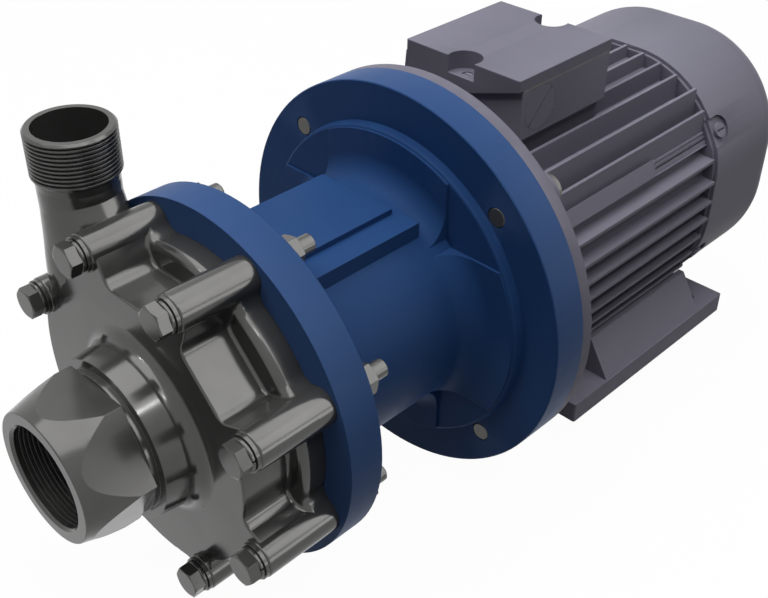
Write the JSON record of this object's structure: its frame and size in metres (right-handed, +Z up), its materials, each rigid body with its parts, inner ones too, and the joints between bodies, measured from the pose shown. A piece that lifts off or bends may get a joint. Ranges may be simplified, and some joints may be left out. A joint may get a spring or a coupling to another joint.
{
  "type": "centrifugal pump",
  "caption": "Close-coupled magnetic drive centrifugal pump: stainless volute casing with threaded ports, painted lantern and finned foot motor with terminal box.",
  "frame": {"origin": "the middle of the four foot holes, on the underside of the feet", "axes": "+Z up, Y along the shaft, the suction port points to -Y, the discharge port points to +Z"},
  "size_m": [0.25, 0.5527, 0.2587],
  "materials": {
    "cast_stainless": "bead blasted and satin polished cast stainless steel",
    "drawn_stainless": "bright drawn stainless steel",
    "stainless_fastener": "plain stainless steel",
    "zinc_fastener": "zinc plated steel",
    "blue_paint": "blue satin paint on cast iron",
    "grey_paint": "grey satin paint on cast metal",
    "cover_paint": "grey satin paint on pressed steel",
    "black_rubber": "matt black rubber",
    "ceramic": "lapped dark silicon carbide",
    "lamination": "stacked electrical steel sheet",
    "copper_winding": "varnished copper wire",
    "bearing_steel": "ground steel",
    "rotor_aluminium": "die cast aluminium",
    "cast_bell": "machined cast iron",
    "magnet": "nickel plated magnet",
    "cage_brass": "machined brass",
    "fan_plastic": "black glass filled plastic",
    "board_plastic": "brown moulded board with steel studs",
    "plug_plastic": "grey moulded plastic"
  },
  "bodies": {
    "pump_and_motor": {"pump_casing": "cast_stainless", "casing_bolts": "stainless_fastener", "casing_washers": "stainless_fastener", "casing_spring_washers": "stainless_fastener", "casing_nuts": "stainless_fastener", "casing_o_ring": "black_rubber", "casing_wear_ring": "ceramic", "containment_can": "drawn_stainless", "bearing_carrier": "cast_stainless", "plain_bushes": "ceramic", "fixed_thrust_rings": "ceramic", "lantern": "blue_paint", "flange_bolts": "zinc_fastener", "flange_washers": "zinc_fastener", "motor_flange_shield": "grey_paint", "motor_housing": "grey_paint", "motor_feet": "grey_paint", "foot_screws": "zinc_fastener", "stator_core": "lamination", "stator_windings": "copper_winding", "bearing_outer_rings": "bearing_steel", "wave_spring": "bearing_steel", "rear_shield": "grey_paint", "tie_bolts": "zinc_fastener", "fan_cover": "cover_paint", "fan_cover_screws": "zinc_fastener", "terminal_box": "grey_paint", "box_gasket": "black_rubber", "box_screws": "zinc_fastener", "terminal_lid": "grey_paint", "lid_gasket": "black_rubber", "lid_screws": "zinc_fastener", "blind_plugs": "plug_plastic", "terminal_board": "board_plastic"},
    "motor_rotor": {"motor_shaft": "bearing_steel", "shaft_key": "bearing_steel", "rotor_core": "lamination", "rotor_end_rings": "rotor_aluminium", "bearing_inner_rings": "bearing_steel", "shaft_seals": "black_rubber", "fan": "fan_plastic", "fan_circlip": "bearing_steel", "outer_rotor": "cast_bell", "outer_magnets": "magnet", "hub_screw": "zinc_fastener", "hub_washer": "zinc_fastener"},
    "pump_rotor": {"pump_shaft": "drawn_stainless", "impeller": "cast_stainless", "impeller_nut": "stainless_fastener", "impeller_key": "drawn_stainless", "rotor_key": "drawn_stainless", "shaft_sleeves": "ceramic", "thrust_discs": "ceramic", "inner_rotor": "cast_bell", "inner_magnets": "magnet", "magnet_sheath": "drawn_stainless", "rotor_nut": "stainless_fastener"},
    "ball_sets": {"bearing_balls": "bearing_steel", "ball_cages": "cage_brass"}
  },
  "joints": [
    {"name": "motor_spin", "type": "hinge", "parent": "pump_and_motor", "child": "motor_rotor", "pos_m": [0, -0.038, 0.1], "axis": [0, 1, 0], "continuous": true},
    {"name": "pump_spin", "type": "hinge", "parent": "pump_and_motor", "child": "pump_rotor", "pos_m": [0, -0.273, 0.1], "axis": [0, 1, 0], "continuous": true},
    {"name": "ball_spin", "type": "hinge", "parent": "pump_and_motor", "child": "ball_sets", "pos_m": [0, -0.117, 0.1], "axis": [0, 1, 0], "continuous": true}
  ],
  "couplings": [
    {"joint": "pump_spin", "follows": "motor_spin", "ratio": 1},
    {"joint": "ball_spin", "follows": "motor_spin", "ratio": 0.3967}
  ]
}
